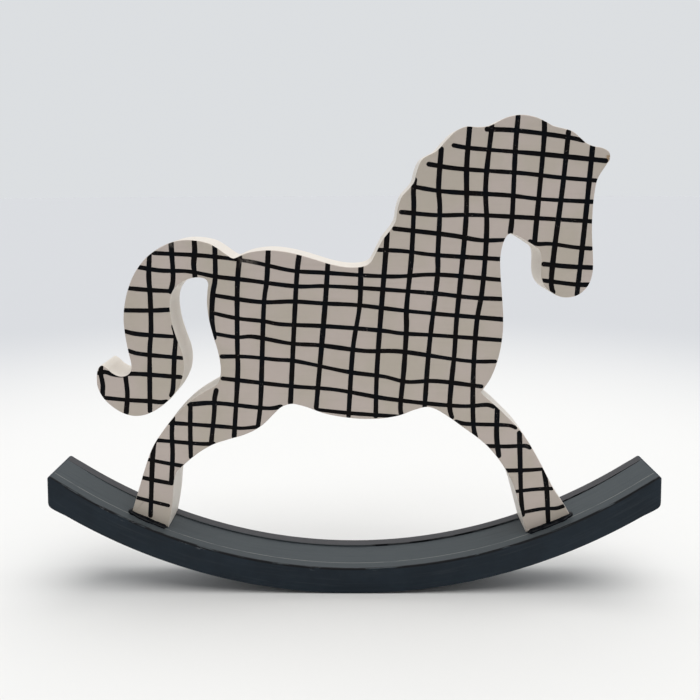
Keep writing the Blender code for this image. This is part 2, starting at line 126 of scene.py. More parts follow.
# Strokes along it
LEVEL_STROKES = [
    [(-75.5, 137.2), (-55, 136), (-39, 133.9), (-23, 130.4), (-11, 129.6), (15, 128.1),
     (31, 128.8), (56.5, 126.7)],
    [(-81.5, 131.9), (-73.5, 130.6), (-62.5, 130.2), (-52, 128.2), (-41, 126.9), (-21, 124.4),
     (-11, 124.5), (11, 123.2), (33, 121.4), (45, 120), (56.5, 119.4)],
    [(-85.5, 123.8), (-77.5, 123.1), (-70, 122.7)],
    [(-88, 115.3), (-77.5, 115.2), (-70.5, 115.5)],
    [(-88, 107.1), (-84.5, 106.2), (-68.5, 104.9)],
    [(-87, 99.4), (-84.5, 98.5), (-66.5, 96.5)],
    [(-99.5, 90.5), (-97, 91), (-94, 90), (-90.5, 89.6), (-88, 90.2), (-67.5, 88.9)],
    [(-98.5, 80.6), (-88.5, 79.6), (-79.5, 79.1), (-75.5, 78.7), (-73.5, 79)],
    [(-53.5, 121.1), (-35, 118.4), (-23, 118.6), (-11, 117.8), (1, 117.2), (23, 114.6),
     (57.5, 111.5)],
    [(-53.5, 114.1), (-44.5, 112.1), (-34, 110.9), (-29, 109.9), (-11, 109), (12, 107.1),
     (18, 106.2), (31, 105.4), (57, 103.4)],
    [(-53.5, 106.1), (-44.5, 104.7), (-39.5, 105), (-24, 102.2), (-13, 101.5), (5, 99.2),
     (17, 99.1), (45.5, 95.1), (55, 95)],
    [(-51, 97.1), (-41.5, 97), (-29.5, 95.8), (-23.5, 95.4), (-2, 90.9), (12.5, 88.9),
     (20.5, 86.9), (31.5, 87.2), (50, 85)],
    [(-51, 88.3), (-23.5, 85.1), (-7.5, 83.8), (14.5, 79.9), (43.5, 77), (53, 77.5), (55, 76.8)],
    [(-64.5, 77.8), (-55.5, 78.4), (-32.5, 76.2), (-28.5, 76.9)],
    [(-14.5, 75.7), (-3.5, 74.4), (17.5, 72.8)],
    [(-73, 70.3), (-49.5, 68.5), (-44.5, 68), (-38, 68.6)],
    [(-78.5, 63.1), (-59.5, 61.5), (-55.5, 61.6)],
    [(-82.5, 55.1), (-75, 53.5), (-68.5, 52.3)],
    [(-85, 47.4), (-78, 45.8), (-73.5, 44.9)],
    [(-87.5, 38.8), (-80, 36.7), (-75, 35.4)],
    [(40.5, 70.7), (43.5, 69.9), (62, 69), (64, 68.2)],
    [(53, 60.6), (60.5, 60.4), (68.5, 60.6), (70, 60)],
    [(61, 50.3), (69.5, 50.5), (75, 50.9)],
    [(65.5, 41.5), (73, 42.4), (79.5, 42.7)],
    [(68, 32.4), (76, 34), (82, 34.3), (84.5, 35.2)],
    [(9.5, 138.2), (19, 137.7), (29, 136.4), (55.5, 134.6)],
    [(15.5, 146.1), (38, 143.4), (48, 141.7), (57.5, 141.8)],
    [(18, 152.2), (32, 151), (44, 151.1), (89, 148.6)],
    [(23, 161.4), (33, 159.8), (58, 158.2), (69, 156.9), (89, 155.8)],
    [(28, 169.6), (37.5, 168.1), (63, 166.2), (76, 164.7), (90, 163.5)],
    [(37, 176.3), (41.5, 175.5), (68, 173.2), (93, 170.6)],
    [(49, 182), (59.5, 181.5), (80, 178.8), (84.5, 177.8)],
    [(66.5, 141.2), (69, 140.3), (74, 140.3), (84, 138.9), (89.5, 138.5)],
    [(72, 132.7), (81, 131.8), (90.5, 131.3)],
    [(72, 126.5), (85, 124.9), (90, 124.8)],
]

# The same hand's grid on the back, drawn by rule
REAR_UPRIGHT_SPACING = 10.4
REAR_LEVEL_SPACING = 8.6
REAR_WOBBLE = 1.1
REAR_WOBBLE_LENGTH = 34.0
REAR_SLANT = 0.035
REAR_STROKE_STEP = 9.0
REAR_ROW_SEED_STEP = 1.7
REAR_DIRECTION_SEED_STEP = 9.0

# Rocker
ROCKER_OUTER_RADIUS = 212.5
ROCKER_BAR_HEIGHT = 11.0
SEAT_RADIUS = ROCKER_OUTER_RADIUS - ROCKER_BAR_HEIGHT
ROCKER_CENTRE_Z = 212.479
ROCKER_DEPTH = 25.0
REAR_SEAM_Y = 7.5
CAD_ROCKER_EDGE_RADIUS = 0.5
ROCKER_EDGE_RADIUS = 0.35
ROCKER_END_RADIUS = 1.0
ROCKER_END_LEAN = 0.6
ROCKER_END_GROWTH = 0.35
REAR_LAYER_RISE = 0.6
REAR_RISE_BAND = 2.0
ROCKER_RISE_END = 118.0
ROCKER_RISE_FLATNESS = 4
ROCKER_END_BAND = 6.0
SEAM_EDGE_RADIUS = 0.12
SEAM_GAP = 0.3
SEAM_CONTACT = 0.02
SEAM_TAPER = 6.0
SEAM_OPENS = 5.0
SEAM_OPEN_SHARE = 0.9
# Where the rear seam is open, along X
OPEN_SEAM = [(5.0, 68.0), (84.0, 119.0)]

# Room round each hidden screw and plug
BORE_CLEARANCE = 0.3
HIDDEN_SCREWS = ["hind_foot_screw", "fore_foot_screw"]
HIDDEN_PLUGS = ["hind_screw_plug", "fore_screw_plug"]

# Flat rim inside each face's rounded edge
FACE_FRAME = 0.3
# Rings behind each rounded edge, so that the side can bend there
SIDE_RINGS = [0.3, 0.7, 1.2]

# Glue beads
GLUE_HEIGHT = 1.1
GLUE_WIDTH = 2.1
GLUE_STEP = 0.35
GLUE_LIFT = 0.04
GLUE_CORNER_REACH = 0.4
GLUE_CORNER_START = 1.0
GLUE_SIDE_LEAN = 0.2
GLUE_SIDE_LENGTH = 3.0
GLUE_BLOB_SPREAD = 1.6
GLUE_BLOB_HEIGHT = 0.25
GLUE_BLOB_WIDTH = -0.6
GLUE_END_TAPER = 24.0
GLUE_SECTION_STEPS = 6
GLUE_ROUGH_SIZE = 3.5
GLUE_ROUGH_SHARE = 0.3

# Colours, as linear shares of the light reflected
PAINT_OCHRE = (0.53, 0.47, 0.395)
PAINT_PINK = (0.575, 0.495, 0.445)
PAINT_DEEP = (0.48, 0.42, 0.365)
# Painted light: the board's edges and side walls, lighter as if lit from above
PAINT_SIDE_LIT = (0.735, 0.685, 0.62)
BARE_EDGE = (0.36, 0.25, 0.15)
INK_WARM = (0.004, 0.003, 0.003)
INK_COOL = (0.002, 0.003, 0.005)
CHARCOAL_DEEP = (0.007, 0.014, 0.022)
CHARCOAL_COOL = (0.010, 0.019, 0.029)
CHARCOAL_LIGHT = (0.026, 0.034, 0.042)
# Painted light: the rocker's top, lighter than its front as if lit from above
CHARCOAL_TOP_LIT = (0.060, 0.071, 0.077)
# Painted highlight along the raised front seam
CHARCOAL_RIDGE_HIGHLIGHT = (0.2, 0.21, 0.2)
# Painted light: the top of the rear layer, lighter as if lit from above and warmer in tone
CHARCOAL_WARM_TOP_LIT = (0.058, 0.056, 0.060)
# Black: the glue, the broken dark line along the front arris, and painted shade in the open rear seam
CHARCOAL_BLACK = (0.002, 0.003, 0.005)
CHARCOAL_SCUFF = (0.16, 0.17, 0.18)
STEEL_BRIGHT = (0.62, 0.62, 0.6)
STEEL_DULL = (0.42, 0.42, 0.41)
FLOOR_WHITE = (0.785, 0.782, 0.772)
# Painted shade: the far floor's grey, darker as if the light fell off with distance
FLOOR_GREY_SHADED = (0.576, 0.587, 0.609)

# Marks on the front
EAR_CHIP = (94.2, -5.9, 171.5)
EAR_CHIP_RADIUS = 1.9
EAR_CHIP_SOFTNESS = 0.9
FADED_INK = [((-68.6, -6.3, 141.5), 3.0), ((-40.0, -6.3, 134.1), 5.0)]
FADED_INK_SOFTNESS = 0.8
FADED_INK_SHARE = 0.18

# Marks on the rocker, and its painted light and shade: where each fades out and is full, from its top,
# raised front seam, rear seam or arris. The lighter top, the front seam's highlight and the rear seam's
# shade are painted light and shade.
REAR_PAINT_BLEND = 0.3
LIT_TOP_REACH = (0.4, 0.1)
RIDGE_HIGHLIGHT_REACH = (0.32, 0.08)
SEAM_SHADE_REACH = (0.42, 0.2)
DARK_ARRIS_REACH = (0.95, 0.5)
SCUFF_REACH = (1.9, 0.9)
SCUFF_SHARE = 0.5

# Studio
CAMERA_PLACE = (1.4, -309.1, 164.1)
CAMERA_TURN_DEG = 0.50
CAMERA_TILT_DEG = 12.02
CAMERA_ROLL_DEG = -0.18
CAMERA_LENS = 41.14
SENSOR_WIDTH = 36.0
FLOOR_RADIUS = 8000.0
FLOOR_SIDES = 96
FLOOR_DROP = 0.05
FLOOR_NEAR = 230.0
FLOOR_FAR = 700.0
SKY_HORIZON = (0.715, 0.735, 0.755)
SKY_ABOVE = (0.74, 0.75, 0.76)
SKY_CLIMB_START = 0.22
SKY_CLIMB_END = 0.55
SKY_NEAR_SIDE = -0.7
SKY_FAR_SIDE = 0.1
SKY_NEAR_SHADE = 0.76
SKY_SHADE_HEIGHT = 0.4
LAMP_ENERGY = 2.1
LAMP_SPREAD_DEG = 64.0
LAMP_COLOUR = (1.0, 0.995, 0.985)
LAMP_FROM = (0.14, -0.08, 1.0)


# Curves and outlines


def smooth_curve(points, step):
    """Points about a step apart along a centripetal Catmull-Rom curve, ends included."""
    if len(points) == 2:
        points = [points[0], points[0].lerp(points[1], 0.5), points[1]]
    ends = [2 * points[0] - points[1]] + points + [2 * points[-1] - points[-2]]
    dense = []
    for before, start, end, after in zip(ends, ends[1:], ends[2:], ends[3:]):
        t0 = 0.0
        t1 = t0 + math.sqrt((start - before).length)
        t2 = t1 + math.sqrt((end - start).length)
        t3 = t2 + math.sqrt((after - end).length)
        count = max(1, round((end - start).length / step))
        for i in range(count):
            t = t1 + (t2 - t1) * i / count
            a1 = before.lerp(start, (t - t0) / (t1 - t0))
            a2 = start.lerp(end, (t - t1) / (t2 - t1))
            a3 = end.lerp(after, (t - t2) / (t3 - t2))
            b1 = a1.lerp(a2, (t - t0) / (t2 - t0))
            b2 = a2.lerp(a3, (t - t1) / (t3 - t1))
            dense.append(b1.lerp(b2, (t - t1) / (t2 - t1)))
    return dense + [points[-1].copy()]


def solid_outline(node, y):
    """The outline of a CAD node at depth y, anticlockwise from the front, in millimetres."""
    bm = bmesh.new()
    bm.from_mesh(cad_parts[node].data)
    bmesh.ops.scale(bm, vec=(1 / MM, 1 / MM, 1 / MM), verts=bm.verts)
    bmesh.ops.remove_doubles(bm, verts=bm.verts, dist=SAME_PLACE)
    level = {v for v in bm.verts if abs(v.co.y - y) < LEVEL_SLACK}
    links = {}
    for edge in bm.edges:
        a, b = edge.verts
        leaves_level = any(v not in level for face in edge.link_faces for v in face.verts)
        if a in level and b in level and leaves_level:
            links.setdefault(a, []).append(b)
            links.setdefault(b, []).append(a)
    start = min(links, key=lambda v: (round(v.co.x, 3), v.co.z))
    ring = [start, min(links[start], key=lambda v: v.co.z)]
    while ring[-1] is not start and len(ring) <= len(links):
        ring.append(next(v for v in links[ring[-1]] if v is not ring[-2]))
    points = [Vector((v.co.x, v.co.z)) for v in ring[:-1]]
    bm.free()
    return points


def turn_at(points, i):
    """How far the closed outline turns at a point, in degrees."""
    before = points[i] - points[i - 1]
    after = points[(i + 1) % len(points)] - points[i]
    return math.degrees(abs(before.angle_signed(after, 0.0)))


def refined(points, corner_turn, step):
    """The closed outline with its curves smoothed and its sharper corners kept."""
    count = len(points)
    corners = [i for i in range(count) if turn_at(points, i) > corner_turn] or [0]
    fine = []
    for first, last in zip(corners, corners[1:] + [corners[0] + count]):
        stretch = [points[i % count] for i in range(first, last + 1)]
        fine += smooth_curve(stretch, step)[:-1]
    return fine


def inset_outline(outline, distance):
    """The anticlockwise outline moved inwards by a distance, with mitred corners."""
    moved = []
    for i, here in enumerate(outline):
        before = (here - outline[i - 1]).normalized()
        after = (outline[(i + 1) % len(outline)] - here).normalized()
        inward_before = Vector((-before.y, before.x))
        inward_after = Vector((-after.y, after.x))
        mitre = (inward_before + inward_after).normalized()
        moved.append(here + mitre * (distance / max(mitre.dot(inward_after), MITRE_LIMIT)))
    return moved


def roundover(radius, steps):
    """(inset, depth) pairs from a face down to the side of a rounded edge."""
    angles = [math.pi / 2 * i / steps for i in range(steps + 1)]
    return [(radius * (1 - math.sin(a)), radius * (1 - math.cos(a))) for a in angles]


class Edge:
    """Tells how far a point lies from a closed outline."""

    def __init__(self, outline):
        self.outline = outline
        self.tree = KDTree(len(outline))
        for i, p in enumerate(outline):
            self.tree.insert((p.x, p.y, 0.0), i)
        self.tree.balance()

    def distance(self, point):
        index = self.tree.find((point.x, point.y, 0.0))[1]
        count = len(self.outline)
        nearest = math.inf
        for i in (index - 1, index):
            a = self.outline[i]
            b = self.outline[(i + 1) % count]
            along = max(0.0, min(1.0, (point - a).dot(b - a) / (b - a).length_squared))
            nearest = min(nearest, (point - a.lerp(b, along)).length)
        return nearest


# Meshes


def add_piece(name, bm, material, replaces=()):
    """A finished piece in metres that rides on the root and takes the given material."""
    bmesh.ops.scale(bm, vec=(MM, MM, MM), verts=bm.verts)
    bmesh.ops.recalc_face_normals(bm, faces=bm.faces)
    mesh = bpy.data.meshes.new(name)
    bm.to_mesh(mesh)
    bm.free()
    mesh.shade_smooth()
    mesh.set_sharp_from_angle(angle=math.radians(SMOOTH_BELOW_DEG))
    mesh.materials.append(material)
    piece = bpy.data.objects.new(name, mesh)
    bpy.context.scene.collection.objects.link(piece)
    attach(piece, "root")
    if replaces:
        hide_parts(*replaces)
    return piece


def loft(bm, rings):
    """Quads between closed rings of equal length, in order."""
    for low, high in zip(rings, rings[1:]):
        for i in range(len(low)):
            j = (i + 1) % len(low)
            bm.faces.new((low[i], low[j], high[j], high[i]))


# The painted grid


def stroke_outline(centre, reaches, grow):
    """A closed ribbon round a line of points, with round ends, anticlockwise."""
    left = []
    right = []
    for i, point in enumerate(centre):
        along = centre[min(i + 1, len(centre) - 1)] - centre[max(i - 1, 0)]
        side = Vector((-along.y, along.x)).normalized() * (reaches[i] + grow)
        left.append(point + side)
        right.append(point - side)
    start_cap = round_cap(centre[0], left[0], right[0])
    end_cap = round_cap(centre[-1], right[-1], left[-1])
    return right + end_cap + left[::-1] + start_cap


def round_cap(centre, start, end):
    """Points of a half circle round centre from start to end, both left out."""
    spoke = start - centre
    cap = []
    for i in range(1, CAP_STEPS):
        cap.append(centre + Matrix.Rotation(math.pi * i / CAP_STEPS, 2) @ spoke)
    return cap


def half_widths(centre, seed):
    """Half widths along a stroke, a little uneven as a hand draws them."""
    spread = LINE_WIDTH_WOBBLE / 2
    run = centre[-1] - centre[0]
    width = UPRIGHT_WIDTH if abs(run.y) > abs(run.x) else LEVEL_WIDTH
    widths = []
    for i, point in enumerate(centre):
        sway = 0.0
        for size, share, seed_step in (SLOW_WOBBLE, QUICK_WOBBLE):
            sway += share * noise.noise(Vector((point.x / size, point.y / size, seed * seed_step)))
        widths.append(width / 2 + spread * sway)
    return widths


def planar_cells(rings, ribbons):
    """Triangles of the lines within the first ring: corners, faces and the raised corners."""
    points = []
    loops = []
    for loop in ribbons + rings:
        loops.append(list(range(len(points), len(points) + len(loop))))
        points += loop
    found = delaunay_2d_cdt(points, [], loops, 0, CELL_TOLERANCE)
    corners, faces, sources = found[0], found[2], found[5]
    limit = len(ribbons)
    kept = []
    raised = set()
    for face, source in zip(faces, sources):
        lines = [s for s in source if s < limit]
        if limit in source and lines:
            kept.append(face)
            if any(s % 2 for s in lines):
                raised.update(face)
    return corners, kept, raised


def make_grid(name, outline, edge, strokes, face_y, outward, material):
    """The painted lines on one face, as a thin closed relief that follows the rounded edge."""
    ribbons = []
    for seed, stroke in enumerate(strokes):
        centre = smooth_curve(stroke, LINE_STEP)
        reaches = half_widths(centre, seed + face_y)
        ribbons.append(stroke_outline(centre, reaches, 0.0))
        ribbons.append(stroke_outline(centre, reaches, -LINE_SLOPE))
    rings = [inset_outline(outline, margin) for margin in LINE_MARGINS]
    corners, faces, raised = planar_cells(rings, ribbons)
    bm = bmesh.new()
    tops = {}
    bottoms = {}
    for i in sorted({i for face in faces for i in face}):
        x, z = corners[i]
        surface_y = face_y - outward * face_depth(edge.distance(corners[i]))
        height = LINE_HEIGHT if i in raised else LINE_RIM_HEIGHT
        tops[i] = bm.verts.new((x, surface_y + outward * height, z))
        bottoms[i] = bm.verts.new((x, surface_y - outward * LINE_SINK, z))
    for face in faces:
        bm.faces.new([tops[i] for i in face])
        bm.faces.new([bottoms[i] for i in reversed(face)])
    runs = [run for face in faces for run in zip(face, face[1:] + face[:1])]
    shared = set(runs)
    for i, j in runs:
        if (j, i) not in shared:
            bm.faces.new((tops[j], tops[i], bottoms[i], bottoms[j]))
    return add_piece(name, bm, material)


def rear_strokes(outline):
    """Strokes for the back, at even spacings with a hand's wobble, in both directions."""
    lows = [min(p[k] for p in outline) for k in (0, 1)]
    highs = [max(p[k] for p in outline) for k in (0, 1)]
    strokes = []
    for across, spacing in ((0, REAR_UPRIGHT_SPACING), (1, REAR_LEVEL_SPACING)):
        along = 1 - across
        for row in range(1, int((highs[across] - lows[across]) / spacing) + 1):
            stroke = []
            steps = math.ceil((highs[along] - lows[along]) / REAR_STROKE_STEP)
            for i in range(-1, steps + 2):
                point = Vector((0.0, 0.0))
                point[along] = lows[along] + i * REAR_STROKE_STEP
                middle = point[along] - (lows[along] + highs[along]) / 2
                row_seed = row * REAR_ROW_SEED_STEP
                direction_seed = across * REAR_DIRECTION_SEED_STEP
                seed = Vector((point[along] / REAR_WOBBLE_LENGTH, row_seed, direction_seed))
                sway = REAR_WOBBLE * noise.noise(seed)
                point[across] = lows[across] + row * spacing + sway + REAR_SLANT * middle
                stroke.append(point)
            strokes.append(stroke)
    return strokes


# The slabs: the horse and the three layers of the rocker


def face_depth(inset):
    """How far below the board's flat face its rounded edge lies, this far inside the outline."""
    short = max(0.0, BOARD_EDGE_RADIUS - inset)
    return BOARD_EDGE_RADIUS - math.sqrt(BOARD_EDGE_RADIUS ** 2 - short ** 2)


def slab(outline, front_y, rear_y, front_radius, rear_radius):
    """A closed slab with rounded edges. A narrow flat ring frames each face, to keep it flat."""
    bm = bmesh.new()
    profile = []
    for face_y, inward, radius in ((front_y, 1, front_radius), (rear_y, -1, rear_radius)):
        side = [(radius + FACE_FRAME, face_y)]
        for inset, depth in roundover(radius, ROUNDOVER_STEPS):
            side.append((inset, face_y + inward * depth))
        side += [(0.0, face_y + inward * (radius + further)) for further in SIDE_RINGS]
        profile += side if inward == 1 else side[::-1]
    rings = []
    for inset, y in profile:
        ring = inset_outline(outline, inset) if inset else outline
        rings.append([bm.verts.new((p.x, y, p.y)) for p in ring])
    loft(bm, rings)
    bm.faces.new(rings[0])
    bm.faces.new(rings[-1])
    return bm


def make_horse(material):
    low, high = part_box("horse_board")
    front_y = low.y / MM
    rear_y = high.y / MM
    coarse = solid_outline("horse_board", front_y + CAD_BOARD_EDGE_RADIUS)
    outline = refined(coarse, CORNER_TURN_DEG, OUTLINE_STEP)
    bm = slab(outline, front_y, rear_y, BOARD_EDGE_RADIUS, BOARD_EDGE_RADIUS)
    horse = add_piece("horse", bm, material, replaces=["horse_board"])
    cut_bores(horse, HIDDEN_SCREWS)
    return outline, front_y, rear_y


def seam_fill(x):
    """How far the paint bridges the rear seam at this place: 1 where it closes it."""
    for start, end in OPEN_SEAM:
        if start < x < end:
            open_share = min(1.0, (x - start) / SEAM_TAPER, (end - x) / SEAM_TAPER)
            return 1.0 - SEAM_OPEN_SHARE * open_share
    return 1.0


def raise_upper_edge(vert):
    """Lifts the upper edge of the rear layer a little proud of the others, least at its ends."""
    centre = Vector((0.0, vert.co.y, ROCKER_CENTRE_Z))
    spoke = centre - vert.co
    depth = spoke.length - SEAT_RADIUS
    share = max(0.0, 1.0 - max(0.0, depth) / REAR_RISE_BAND)
    fade = 1.0 - min(1.0, abs(vert.co.x) / ROCKER_RISE_END) ** ROCKER_RISE_FLATNESS
    vert.co += spoke.normalized() * (REAR_LAYER_RISE * share * fade)


def make_layer(node, material):
    """One layer of the rocker, on its solid's outline but with softer edges and closed seams."""
    low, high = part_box(node)
    front_y = low.y / MM
    rear_y = high.y / MM
    is_front = "front" in node
    is_rear = "rear" in node
    coarse = solid_outline(node, front_y + (CAD_ROCKER_EDGE_RADIUS if is_front else 0.0))
    outline = refined(coarse, ROCKER_CORNER_TURN_DEG, OUTLINE_STEP)
    front_radius = ROCKER_EDGE_RADIUS if is_front else SEAM_EDGE_RADIUS
    rear_radius = ROCKER_EDGE_RADIUS if is_rear else SEAM_EDGE_RADIUS
    bm = slab(outline, front_y, rear_y, front_radius, rear_radius)
    half_length = high.x / MM
    top = high.z / MM
    for vert in bm.verts:
        if is_front and vert.co.y > rear_y - SEAM_EDGE_RADIUS - MM:
            vert.co.y += SEAM_GAP - SEAM_CONTACT
        if is_rear and vert.co.y < front_y + SEAM_EDGE_RADIUS + MM:
            vert.co.y -= (SEAM_GAP - SEAM_CONTACT) * seam_fill(vert.co.x)
        short = max(0.0, ROCKER_END_RADIUS - (ROCKER_DEPTH / 2 - abs(vert.co.y)))
        pulled = ROCKER_END_RADIUS - math.sqrt(ROCKER_END_RADIUS ** 2 - short ** 2)
        lean = ROCKER_END_LEAN * (top - vert.co.z) / ROCKER_BAR_HEIGHT
        reach = min(abs(vert.co.x), half_length - pulled)
        close = max(0.0, 1.0 - (half_length - reach) / ROCKER_END_BAND)
        vert.co.x = math.copysign(reach + (lean + ROCKER_END_GROWTH) * close, vert.co.x)
        if is_rear:
            raise_upper_edge(vert)
    piece = add_piece(node + "_painted", bm, material, replaces=[node])
    if not is_front and not is_rear:
        cut_bores(piece, HIDDEN_SCREWS + HIDDEN_PLUGS)


def cut_bores(piece, nodes):
    """Bores for hidden screws and plugs, each cut by its own solid grown by the clearance."""
    for node in nodes:
        bm = bmesh.new()
        bm.from_mesh(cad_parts[node].data)
        bm.transform(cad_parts[node].matrix_world)
        bmesh.ops.remove_doubles(bm, verts=bm.verts, dist=MM * MM)
        bm.normal_update()
        directions = [vert.normal.copy() for vert in bm.verts]
        for vert, direction in zip(bm.verts, directions):
            vert.co += direction * (BORE_CLEARANCE * MM)
        mesh = bpy.data.meshes.new("bore")
        bm.to_mesh(mesh)
        bm.free()
        cutter = bpy.data.objects.new("bore", mesh)
        bpy.context.scene.collection.objects.link(cutter)
        cut = piece.modifiers.new("bore", "BOOLEAN")
        cut.operation = "DIFFERENCE"
        cut.solver = "EXACT"
        cut.object = cutter
        depsgraph = bpy.context.evaluated_depsgraph_get()
        result = bpy.data.meshes.new_from_object(piece.evaluated_get(depsgraph))
        piece.modifiers.remove(cut)
        piece.data = result
        bpy.data.objects.remove(cutter)


def make_glue(name, node, board_front_y, material):
    """A bead of glue along the foot's front edge, round its outer corner and up its side."""
    low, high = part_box(node)
    left = low.x / MM
    right = high.x / MM
    outer = left if left < 0 else right
    inner = right if left < 0 else left
    away = -1 if left < 0 else 1
    corner = Vector((outer + away * GLUE_CORNER_REACH, board_front_y))
    path = [
        Vector((inner, board_front_y)),
        Vector((outer - away * GLUE_CORNER_START, board_front_y)),
        corner,
        Vector((corner.x + away * GLUE_SIDE_LEAN, board_front_y + GLUE_SIDE_LENGTH)),
    ]
    centre = smooth_curve(path, GLUE_STEP)
    bm = bmesh.new()
    rings = []
    for i, point in enumerate(centre):
        share = i / (len(centre) - 1)
        blob = math.exp(-((point - corner).length / GLUE_BLOB_SPREAD) ** 2)
        rough = noise.noise(Vector((point.x / GLUE_ROUGH_SIZE, point.y / GLUE_ROUGH_SIZE, left)))
        swell = min(1.0, GLUE_END_TAPER * share, GLUE_END_TAPER * (1 - share))
        uneven = 1 + GLUE_ROUGH_SHARE * rough
        height = (GLUE_HEIGHT * uneven + GLUE_BLOB_HEIGHT * blob) * swell
        width = (GLUE_WIDTH * uneven + GLUE_BLOB_WIDTH * blob) * swell
        along = centre[min(i + 1, len(centre) - 1)] - centre[max(i - 1, 0)]
        out = Vector((along.y, -along.x)).normalized() * away
        base = seat_z(point.x) + GLUE_LIFT
        section = [(0.0, 0.0), (0.0, height)]
        for k in range(1, GLUE_SECTION_STEPS):
            angle = math.pi / 2 * k / GLUE_SECTION_STEPS
            section.append((width * math.sin(angle), height * math.cos(angle)))
        section.append((width, 0.0))
        ring = []
        for reach, up in section:
            at = point + out * (reach + GLUE_LIFT)
            ring.append(bm.verts.new((at.x, at.y, base + up)))
        rings.append(ring)
    loft(bm, rings)
    bm.faces.new(rings[0])
    bm.faces.new(rings[-1])
    return add_piece(name, bm, material, replaces=[node])


def seat_z(x):
    """Height of the rocker's upper surface."""
    return ROCKER_CENTRE_Z - math.sqrt(SEAT_RADIUS ** 2 - x ** 2)


# Materials


class Nodes:
    """Short ways to add nodes to a tree."""

    def __init__(self, tree):
        self.tree = tree

    def feed(self, socket, value):
        """Links an output to a socket, or gives the socket a constant."""
        if isinstance(value, bpy.types.NodeSocket):
            self.tree.links.new(value, socket)
        else:
            socket.default_value = value

    def split(self, vector):
        node = self.tree.nodes.new("ShaderNodeSeparateXYZ")
        self.feed(node.inputs[0], vector)
        return node.outputs

    def stretched(self, vector, scale):
        node = self.tree.nodes.new("ShaderNodeVectorMath")
        node.operation = "MULTIPLY"
        self.feed(node.inputs[0], vector)
        node.inputs[1].default_value = scale
        return node.outputs[0]

    def drawn_out(self, vector, share):
        """Places squeezed along the first axis, which draws a pattern out along it."""
        return self.stretched(vector, (share, 1.0, 1.0))

    def joined(self, x, y, z):
        node = self.tree.nodes.new("ShaderNodeCombineXYZ")
        for socket, value in zip(node.inputs, (x, y, z)):
            self.feed(socket, value)
        return node.outputs[0]

    def calc(self, operation, *values):
        node = self.tree.nodes.new("ShaderNodeMath")
        node.operation = operation
        for socket, value in zip(node.inputs, values):
            self.feed(socket, value)
        return node.outputs[0]

    def hypotenuse(self, first, second):
        squares = [self.calc("POWER", leg, 2.0) for leg in (first, second)]
        return self.calc("SQRT", self.calc("ADD", *squares))

    def noise(self, vector, size, detail=2.0, roughness=0.5):
        """Noise centred on 0.5, with features about this size across."""
        node = self.tree.nodes.new("ShaderNodeTexNoise")
        self.feed(node.inputs["Vector"], vector)
        node.inputs["Scale"].default_value = 1 / size
        node.inputs["Detail"].default_value = detail
        node.inputs["Roughness"].default_value = roughness
        return node.outputs["Fac"]

    def ramp(self, value, start, end, low=0.0, high=1.0):
        """Goes smoothly from low to high as the value goes from start to end."""
        node = self.tree.nodes.new("ShaderNodeMapRange")
        node.interpolation_type = "SMOOTHSTEP"
        self.feed(node.inputs["Value"], value)
        node.inputs["From Min"].default_value = start
        node.inputs["From Max"].default_value = end
        node.inputs["To Min"].default_value = low
        node.inputs["To Max"].default_value = high
        return node.outputs["Result"]

    def mix(self, share, first, second):
        node = self.tree.nodes.new("ShaderNodeMix")
        node.data_type = "RGBA"
        self.feed(node.inputs[0], share)
        for socket, value in ((node.inputs[6], first), (node.inputs[7], second)):
            self.feed(socket, value if isinstance(value, bpy.types.NodeSocket) else (*value, 1.0))
        return node.outputs[2]


class Shader(Nodes):
    """A Principled material, with places in millimetres."""

    def __init__(self, name, constants):
        self.material = bpy.data.materials.new(name)
        self.material.use_nodes = True
        super().__init__(self.material.node_tree)
        self.surface = self.tree.nodes["Principled BSDF"]
        for socket, value in constants.items():
            self.surface.inputs[socket].default_value = value
        coordinates = self.tree.nodes.new("ShaderNodeTexCoord")
        self.place = self.stretched(coordinates.outputs["Object"], (1 / MM, 1 / MM, 1 / MM))
        self.x, self.y, self.z = self.split(self.place)

    def facing_y(self):
        """How squarely the surface faces front or back."""
        geometry = self.tree.nodes.new("ShaderNodeNewGeometry")
        normal = self.split(geometry.outputs["Normal"])
        return self.calc("ABSOLUTE", normal["Y"])

    def near(self, point, radius, softness):
        """1 close to a point, 0 beyond the radius."""
        node = self.tree.nodes.new("ShaderNodeVectorMath")
        node.operation = "DISTANCE"
        self.feed(node.inputs[0], self.place)
        node.inputs[1].default_value = point
        return self.ramp(node.outputs["Value"], radius, radius - softness)

    def bump(self, *layers):
        """Stacks bumps, each a height socket from 0 to 1 and its full height in millimetres."""
        normal = None
        for height, depth in layers:
            node = self.tree.nodes.new("ShaderNodeBump")
            node.inputs["Strength"].default_value = 1.0
            node.inputs["Distance"].default_value = depth * MM
            self.feed(node.inputs["Height"], height)
            if normal is not None:
                self.feed(node.inputs["Normal"], normal)
            normal = node.outputs["Normal"]
        self.feed(self.surface.inputs["Normal"], normal)

    def finish(self, colour, roughness=None):
        self.feed(self.surface.inputs["Base Color"], colour)
        if roughness is not None:
            self.feed(self.surface.inputs["Roughness"], roughness)
        return self.material


